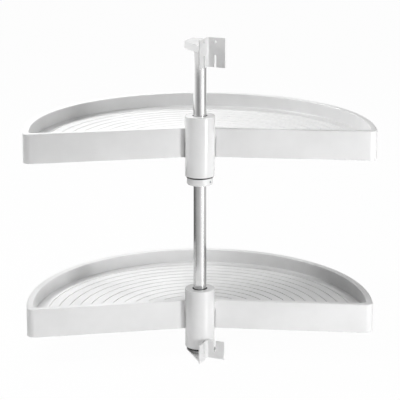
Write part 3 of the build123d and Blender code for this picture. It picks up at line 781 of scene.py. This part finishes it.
def sleeve_shell(rim):
    """The hub's turned section: outer wall, top plate and core with a seat at each end."""
    top, bottom = rim + HUB_ABOVE, rim - HUB_BELOW
    inner, plate = HUB_RADIUS - WALL, top - HUB_PLATE
    low_seat, high_seat = bottom + BUSH_LENGTH, top - BUSH_SUNK - BUSH_LENGTH
    outside = [(BUSH_SEAT, top), (HUB_RADIUS, top), (HUB_RADIUS, bottom), (inner, bottom)]
    inside = [(inner, plate), (HUB_CORE, plate), (HUB_CORE, bottom), (BUSH_SEAT, bottom)]
    bore = [(BUSH_SEAT, low_seat), (CORE_BORE, low_seat), (CORE_BORE, high_seat), (BUSH_SEAT, high_seat)]
    return turned(rounded(outside + inside + bore, SLEEVE_CURVES, steps=6), steps=160)


def web_shells(rim):
    """Six plates between core and wall: a thin rectangle in plan carried up the sleeve."""
    height = np.array([rim - HUB_BELOW + WEB_SHORT, rim + HUB_ABOVE - WEB_SHORT])[:, None]
    side = PLATE_HALF * np.array([-1, -1, 1, 1])
    plate = np.array([WEB_START, WEB_END, WEB_END, WEB_START]) + 1j * side
    return [swept(lifted(plate * way, height)) for way in np.exp(1j * WEB_ANGLES)]


print("sleeve", HUB_ABOVE + HUB_BELOW, "mm long")

# %% Flange and gussets of a hub, in mm
FLANGE_START = HUB_RADIUS - 1.0
FLANGE_RADIUS = 60.0
FLANGE_FRONT = 16.0
FLANGE_THICKNESS = 4.0
FLANGE_CURVES = (0, 0, 0.8, 0.8)
FLANGE_STRANDS = 61
GUSSET_ANGLES = np.radians((65.5, 114.5))
GUSSET_PROFILE = ((30.5, 0.5), (52.0, 0.5), (52.0, -0.4), (30.5, -10.0))
GUSSET_CURVE = 0.4


def flange_shell(rim):
    """Each strand runs from the sleeve's circle to the flange's edge, and their ends lie on one
    straight front line; the section across a strand has a rounded outer edge."""
    reach = FLANGE_RADIUS - FLANGE_START
    corners = [(0, 0), (0, -FLANGE_THICKNESS), (reach, -FLANGE_THICKNESS), (reach, 0)]
    edge = rounded(corners, FLANGE_CURVES, steps=5)
    share = np.linspace(-1, 1, FLANGE_STRANDS)[:, None]
    start, end = (
        radius * np.exp(1j * (np.pi / 2 - np.arccos(FLANGE_FRONT / radius) * share))
        for radius in (FLANGE_START, FLANGE_RADIUS)
    )
    plan = start + (end - start) * edge[:, 0] / reach
    return swept(lifted(plan, rim - TIP_DROP + edge[:, 1]))


def gusset_shells(rim):
    """Two three-cornered plates below the flange, each a radial outline carried across."""
    flange = (0, rim - TIP_DROP - FLANGE_THICKNESS)
    outline = rounded(GUSSET_PROFILE, GUSSET_CURVE, steps=4) + flange
    plate = outline[:, 0] + 1j * np.array([-PLATE_HALF, PLATE_HALF])[:, None]
    return [swept(lifted(plate * way, outline[:, 1])) for way in np.exp(1j * GUSSET_ANGLES)]


print("flange reaches", FLANGE_RADIUS - HUB_RADIUS, "mm out of the sleeve")

# %% Make both hubs
for name, rim in RIMS.items():
    shells = [sleeve_shell(rim), flange_shell(rim), *web_shells(rim), *gusset_shells(rim)]
    make_piece(f"{name}_hub_moulding", shells, f"{name}_hub")

# %% [markdown]
# ## The hubs' top bushes
# A black acetal bush is pressed into each end of a hub. The photograph shows a black ring round
# the pole where it enters a hub, so the top bush has a thin lip that lines the bore up to the
# hub's face and keeps dust out. Dark paint on the hub's bore would look the same from the front,
# but a lip is what a real bush can have. The pole mirrors it, which makes the ring look wider.

# %% Make the top bushes, in mm
BUSH_BORE = 14.05
LIP_WALL = 1.1
LIP_BELOW_FACE = 0.6
BUSH_CURVES = (0.4, 0.4, 0.3, 0.3, 0, 0.8)
for name, rim in RIMS.items():
    (_, _, bush_low), (bush_outer, _, bush_top) = (np.array(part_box(f"{name}_hub_top_bush")) / MM).tolist()
    lip_top, lip_bore = rim + HUB_ABOVE - LIP_BELOW_FACE, bush_outer - LIP_WALL
    outside = [(BUSH_BORE, bush_low), (bush_outer, bush_low), (bush_outer, lip_top)]
    inside = [(lip_bore, lip_top), (lip_bore, bush_top), (BUSH_BORE, bush_top)]
    section = rounded(outside + inside, BUSH_CURVES, steps=4)
    make_piece(f"{name}_hub_lipped_bush", [turned(section, steps=128)], f"{name}_hub_top_bush")

# %% [markdown]
# ## The pole
# The pole is a plain tube of 28 mm. A ready-made cylinder would have no wall and sharp ends. The
# real ends are deburred, so the section that is turned here has a small curve at each corner, and
# the plating's fine lines come from the finish.

# %% Make the pole, in mm
POLE_BORE, POLE_RADIUS = 12.5, 14.0
POLE_CURVE = 0.35
POLE_BOTTOM, POLE_TOP = (float(corner[2]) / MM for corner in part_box("pole_tube"))
tube = ring_section(POLE_BORE, POLE_RADIUS, POLE_BOTTOM, POLE_TOP, POLE_CURVE, steps=4)
make_piece("pole_plated_tube", [turned(tube, steps=128)], "pole_tube")

# %% [markdown]
# ## The thrust washer
# Between the collar and the upper hub lies a black acetal washer. The photograph shows it as a
# thin black line nearly as wide as the hub. The plain ring of the engineering model could stay,
# but it is narrower, so the washer is turned wider here, at the same height and with the same
# bore.

# %% Make the thrust washer, in mm
WASHER_BORE, WASHER_RADIUS = 14.3, 29.5
WASHER_CURVE = 0.3
WASHER_LOW, WASHER_TOP = (float(corner[2]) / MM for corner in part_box("upper_thrust_washer"))
washer = ring_section(WASHER_BORE, WASHER_RADIUS, WASHER_LOW, WASHER_TOP, WASHER_CURVE, steps=4)
make_piece("upper_thrust_disc", [turned(washer, steps=128)], "upper_thrust_washer")

# %% [markdown]
# ## The screws
# The hub's and the cap's screws have low pan heads with a cross recess. The recess could be cut
# by a boolean, which leaves thin splinters of faces. So a head is a height over a polar grid: a
# flattened dome, less the recess, whose arms get shallower outwards.

# %% Heads and shanks of the screws, in mm
HEAD_RADIUS = 4.0
HEAD_HEIGHT = 2.6
HEAD_EDGE = 0.9
HEAD_ROWS, HEAD_COLUMNS = 30, 72
CROSS_HALF = (0.35, 0.55)
CROSS_REACH = (2.0, 2.3)
CROSS_DEPTH = 1.7
CROSS_RISE = 0.35
SHANK_RADIUS = 1.95
SHANK_IN_HEAD = 0.5
SHANK_POINT = 2.0
SHANK_CURVES = (0, 0, 0.3, 0)


def head_shell(centre, seat):
    """Dome: edge height plus the rest times the square root of 1 - (r / R)^4. Recess: 1 in two
    crossed bars, times a depth that falls from the middle outwards. The head hangs below seat,
    and each angle has one closed section: out along the seat and back over the dome."""
    radius = HEAD_RADIUS * np.linspace(0, 1, HEAD_ROWS)
    turn = np.linspace(0, 2 * np.pi, HEAD_COLUMNS, endpoint=False)[:, None]
    arm = radius * np.exp(1j * turn)
    dome = HEAD_EDGE + (HEAD_HEIGHT - HEAD_EDGE) * np.sqrt(np.clip(1 - (radius / HEAD_RADIUS) ** 4, 0, 1))
    from_bar = np.minimum(abs(arm.real), abs(arm.imag))
    cross = (1 - smoothstep(*CROSS_HALF, from_bar)) * (1 - smoothstep(*CROSS_REACH, radius))
    height = dome - cross * (CROSS_DEPTH - CROSS_RISE * radius)
    seat_side, dome_side = lifted(centre + arm, seat), lifted(centre + arm, seat - height)
    return swept(np.concatenate([seat_side, dome_side[:, ::-1]], axis=1), close_path=True)


def screw_shells(places, seat, length):
    """Head below the seat and a shank with a pointed tip above it, for each place."""
    low, high = seat - SHANK_IN_HEAD, seat + length
    corners = [(0, low), (SHANK_RADIUS, low), (SHANK_RADIUS, high - SHANK_POINT), (0, high)]
    shank = rounded(corners, SHANK_CURVES, steps=3)
    shanks = [turned(shank, steps=24, centre=place) for place in places]
    return [head_shell(place, seat) for place in places] + shanks


print("heads of", 2 * HEAD_RADIUS, "mm")

# %% Make the screws, in mm
HUB_SCREW_LENGTH = 15.0
CAP_SCREW_LENGTH = 11.0
BRACKET_TURN = math.radians(-26.8)
CAP_PLACES = np.array([-10.0 - 25.5j, 16.0 - 44.0j]) * np.exp(1j * BRACKET_TURN)
for name, rim in RIMS.items():
    seat = rim - TIP_DROP - FLANGE_THICKNESS
    shells = screw_shells(SCREW_CIRCLE * np.exp(1j * SCREW_ANGLES), seat, HUB_SCREW_LENGTH)
    make_piece(f"{name}_hub_pan_head_screws", shells, f"{name}_hub_screws")
cap_seat = float(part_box("top_cap_block")[0][2]) / MM
make_piece("top_cap_pan_head_screws", screw_shells(CAP_PLACES, cap_seat, CAP_SCREW_LENGTH), "top_cap_screws")

# %% [markdown]
# ## The brackets, the cap and the collar
# These have slots, holes and sockets that the engineering model already cuts in the right
# places, but its edges are sharp, and the paint film and the mould both round them. A sheet with
# holes is no simple grid. So each is a copy of the solid with its loose triangles merged and its
# flat areas joined, and a narrow bevel rounds every hard edge.

# %% Soften the edges of pressed and moulded solids
FLAT_BELOW = math.radians(1.0)
BEVEL_ABOVE = math.radians(32)
SHEET_BEVEL = 0.35 * MM
MOULDED_BEVEL = 0.5 * MM


def softened(name, node, width):
    """Copies a CAD node's points and triangles, merges and joins them, and bevels its edges."""
    source = frame["nodes"][node].data
    points = np.empty(3 * len(source.vertices))
    source.vertices.foreach_get("co", points)
    corners = np.empty(len(source.loops), int)
    source.loops.foreach_get("vertex_index", corners)
    mesh = bpy.data.meshes.new(name)
    mesh.from_pydata(points.reshape(-1, 3), [], corners.reshape(-1, 3).tolist())
    work = bmesh.new()
    work.from_mesh(mesh)
    bmesh.ops.remove_doubles(work, verts=work.verts, dist=MERGE_BELOW)
    bmesh.ops.dissolve_limit(work, angle_limit=FLAT_BELOW, verts=work.verts, edges=work.edges)
    work.to_mesh(mesh)
    work.free()
    piece = show(name, mesh, node)
    bevel = piece.modifiers.new("soft edge", "BEVEL")
    bevel.width = width
    bevel.segments = 3
    bevel.limit_method = "ANGLE"
    bevel.angle_limit = BEVEL_ABOVE
    bevel.harden_normals = True
    print(name, len(mesh.polygons), "faces before its bevel")


softened("bottom_bracket_coated", "bottom_bracket", SHEET_BEVEL)
softened("top_bracket_coated", "top_bracket", SHEET_BEVEL)
softened("top_cap_moulding", "top_cap_block", MOULDED_BEVEL)
softened("stop_collar_moulding", "stop_collar", MOULDED_BEVEL)

# %% [markdown]
# ## Ground and world
# The photograph is a studio shot on pure white: the ground shows no edge. A very bright lamp on
# white paper could give that, but it would also burn out the white trays. So the ground and the
# world are white only to the camera and to reflections. The ground still catches the object's
# shadow, and no extra light falls on the object.

# %% Make the white ground and the world
GROUND_GLOW = 0.98
GROUND_REACH = 12.0
WORLD_LIGHT = 0.03
WHITE = (1, 1, 1, 1)


def sight(tree):
    """1 for rays from the camera, reflections and clear materials, and 0 for the rest."""
    path = add_node(tree, "ShaderNodeLightPath")
    seen = path.outputs["Is Camera Ray"]
    for ray in ("Is Glossy Ray", "Is Transmission Ray"):
        larger = add_node(tree, "ShaderNodeMath", {"operation": "MAXIMUM"})
        tree.links.new(seen, larger.inputs[0])
        tree.links.new(path.outputs[ray], larger.inputs[1])
        seen = larger.outputs[0]
    return seen


def studio_ground():
    """A floor that glows white to the eye by GROUND_GLOW and takes shadow with the rest."""
    material, tree, _ = new_material("studio_paper")
    glow = add_node(tree, "ShaderNodeEmission", {"Color": WHITE, "Strength": 1.0})
    matt = add_node(tree, "ShaderNodeBsdfDiffuse", {"Color": linear("f4f4f4")})
    share = add_node(tree, "ShaderNodeMath", {"operation": "MULTIPLY"})
    share.inputs[1].default_value = GROUND_GLOW
    tree.links.new(sight(tree), share.inputs[0])
    both = add_node(tree, "ShaderNodeMixShader", Fac=share.outputs[0])
    tree.links.new(matt.outputs[0], both.inputs[1])
    tree.links.new(glow.outputs[0], both.inputs[2])
    add_node(tree, "ShaderNodeOutputMaterial", Surface=both.outputs[0])
    corners = GROUND_REACH * np.array([(-1, -1, 0), (1, -1, 0), (1, 1, 0), (-1, 1, 0)])
    mesh = bpy.data.meshes.new("studio_floor")
    mesh.from_pydata(corners, [], [(0, 1, 2, 3)])
    mesh.materials.append(material)
    ground = bpy.data.objects.new("studio_floor", mesh)
    bpy.context.scene.collection.objects.link(ground)


def studio_world():
    """White to the eye, and WORLD_LIGHT as light on the object."""
    world = bpy.data.worlds.new("studio")
    world.use_nodes = True
    bpy.context.scene.world = world
    tree = world.node_tree
    tree.nodes.clear()
    level = add_node(tree, "ShaderNodeMapRange", {"To Min": WORLD_LIGHT, "To Max": 1.0}, Value=sight(tree))
    back = add_node(tree, "ShaderNodeBackground", {"Color": WHITE}, Strength=level.outputs["Result"])
    add_node(tree, "ShaderNodeOutputWorld", Surface=back.outputs[0])


studio_ground()
studio_world()
print("ground of", 2 * GROUND_REACH, "m, world light", WORLD_LIGHT)

# %% [markdown]
# ## Cards for the pole's reflections
# A plated tube shows the whole room, and a room that is white all round leaves it flat. So a
# photographer stands grey cards, called flags, on the table beside the object. Two curved cards
# stand in for them here. They glow at set levels instead of taking the lamps' light, and only
# reflections see them, so the dark and bright bands they give the pole are painted reflections.
# Their level changes along them and above a seam; 1 is white, and the far upper end of the left
# one is brighter still. The ground here is matt, so a glowing strip on it is a painted reflection
# of the tall strip lamp, as a polished table would mirror it: it runs over the ground to the
# object and up at its far end. Painting dark stripes on the pole would look right from one side
# only.

# %% Set up the cards (turns in degrees from the camera to the right, places in metres)
FLAG_RADIUS = 0.44
FLAG_SEAM = 0.3
FLAG_TOP = 0.64
SEAM_HALF = 0.001
FLAG_COLUMNS = 60
LEFT_TURNS = (-165, -140, -122, -105, -91, -69, -49, -31, -14, 3, 14)
LEFT_LOW = (1.0, 0.7, 0.1, 0.15, 0.2, 0.37, 0.5, 0.58, 0.6, 0.82, 1.0)
LEFT_HIGH = (1.4, 1.45, 1.45, 1.4, 1.05, 0.72, 0.48, 0.34, 0.38, 0.58, 0.9)
RIGHT_TURNS = (80, 90, 102, 135)
RIGHT_LOW = (1.0, 0.75, 0.62, 0.8)
RIGHT_HIGH = (1.0, 0.6, 0.5, 0.5)
STRIP_TURN = 48.0
STRIP_HALF = 7.0
STRIP_LEVEL = 4.0
STRIP_NEAR = 0.07
STRIP_FAR = 1.6
STRIP_TOP = 0.7
STRIP_COLUMNS = 12
CLEAR_OF_TABLE = 0.002


def reflected_card(name, turn, rows):
    """A card over an array of turns. A row is a radius and a height and the level of its glow:
    the points of a row are radius times the way of each turn, and each row's glow blends into the
    next. Only reflections see the card."""
    way = np.exp(1j * (np.radians(turn - 90.0) - CAMERA_TURN))
    points = [lifted(radius * way, height) for radius, height, _ in rows]
    mesh = bpy.data.meshes.new(name)
    mesh.from_pydata(np.concatenate(points), [], grid_quads(len(rows), len(turn)).tolist())
    glow_level = mesh.attributes.new("level", "FLOAT", "POINT")
    glow_level.data.foreach_set("value", np.concatenate([level + 0 * turn for _, _, level in rows]))
    material, tree, _ = new_material(name)
    strength = add_node(tree, "ShaderNodeAttribute", {"attribute_name": "level"})
    glow = add_node(tree, "ShaderNodeEmission", {"Color": WHITE}, Strength=strength.outputs["Fac"])
    add_node(tree, "ShaderNodeOutputMaterial", Surface=glow.outputs[0])
    mesh.materials.append(material)
    card = bpy.data.objects.new(name, mesh)
    bpy.context.scene.collection.objects.link(card)
    card.visible_camera = card.visible_diffuse = card.visible_shadow = False
    card.visible_transmission = card.visible_volume_scatter = False
    print(name, len(mesh.polygons), "faces")


# Glowing flags: their levels paint the pole's dark and bright reflection bands.
for name, turns, low_levels, high_levels in (
    ("left_flag", LEFT_TURNS, LEFT_LOW, LEFT_HIGH),
    ("right_flag", RIGHT_TURNS, RIGHT_LOW, RIGHT_HIGH),
):
    turn = np.linspace(turns[0], turns[-1], FLAG_COLUMNS)
    low, high = np.interp(turn, turns, low_levels), np.interp(turn, turns, high_levels)
    rows = [(0.0, low), (FLAG_SEAM - SEAM_HALF, low), (FLAG_SEAM + SEAM_HALF, high), (FLAG_TOP, high)]
    reflected_card(name, turn, [(FLAG_RADIUS, height, level) for height, level in rows])
# A glowing strip at STRIP_LEVEL, a painted reflection of the strip lamp, seen only in reflections.
strip_turn = np.linspace(STRIP_TURN - STRIP_HALF, STRIP_TURN + STRIP_HALF, STRIP_COLUMNS)
strip_path = [(STRIP_NEAR, CLEAR_OF_TABLE), (STRIP_FAR, CLEAR_OF_TABLE), (STRIP_FAR, STRIP_TOP)]
reflected_card("painted_strip_reflection", strip_turn, [(*place, STRIP_LEVEL) for place in strip_path])

# %% [markdown]
# ## The lamps
# Two lamps on one stand to the right of the camera light the fronts. Small hard banks above, on
# the left and behind draw the rings and the foot of the walls, which one large soft lamp would
# wash out. A low fill in front lifts the lower parts, and reflections don't see it.

# %% Set up the lamps (places, targets and sizes in metres, power in watts)
MIDDLE = (0, 0, 0.3)
LAMPS = (
    ("strip_right_low", (1.25, -1.15, 0.16), (0, 0, 0.16), (0.3, 0.3), 10.6),
    ("strip_right_high", (1.25, -1.15, 1.05), (0, 0, 0.35), (0.3, 0.4), 9.1),
    ("bank_left_above", (-1.8, -0.05, 2.0), MIDDLE, (0.35, 0.35), 20.5),
    ("bank_left_steep", (-0.8, -0.2, 2.5), MIDDLE, (0.35, 0.35), 5),
    ("bank_behind", (0, 2.6, 2.0), MIDDLE, (0.8, 0.5), 18),
    ("bank_behind_left", (-1.1, 0.9, 1.7), MIDDLE, (0.3, 0.3), 11.5),
    ("fill_low", (-0.2, -0.7, 0.1), (0, 0, 0.06), (0.8, 0.1), 0.85),
)


def add_lamp(name, place, target, size, power):
    """A rectangular lamp at place that faces target."""
    data = bpy.data.lights.new(name, "AREA")
    data.shape = "RECTANGLE"
    data.size, data.size_y = size
    data.energy = power
    lamp = bpy.data.objects.new(name, data)
    bpy.context.scene.collection.objects.link(lamp)
    lamp.location = place
    lamp.rotation_euler = (Vector(target) - Vector(place)).to_track_quat("-Z", "Y").to_euler()
    return lamp


lamps = {row[0]: add_lamp(*row) for row in LAMPS}
lamps["fill_low"].visible_camera = False
lamps["fill_low"].visible_glossy = False
bpy.context.scene.view_settings.view_transform = "Standard"
print(len(lamps), "lamps of", round(sum(lamp.data.energy for lamp in lamps.values()), 1), "W in all")
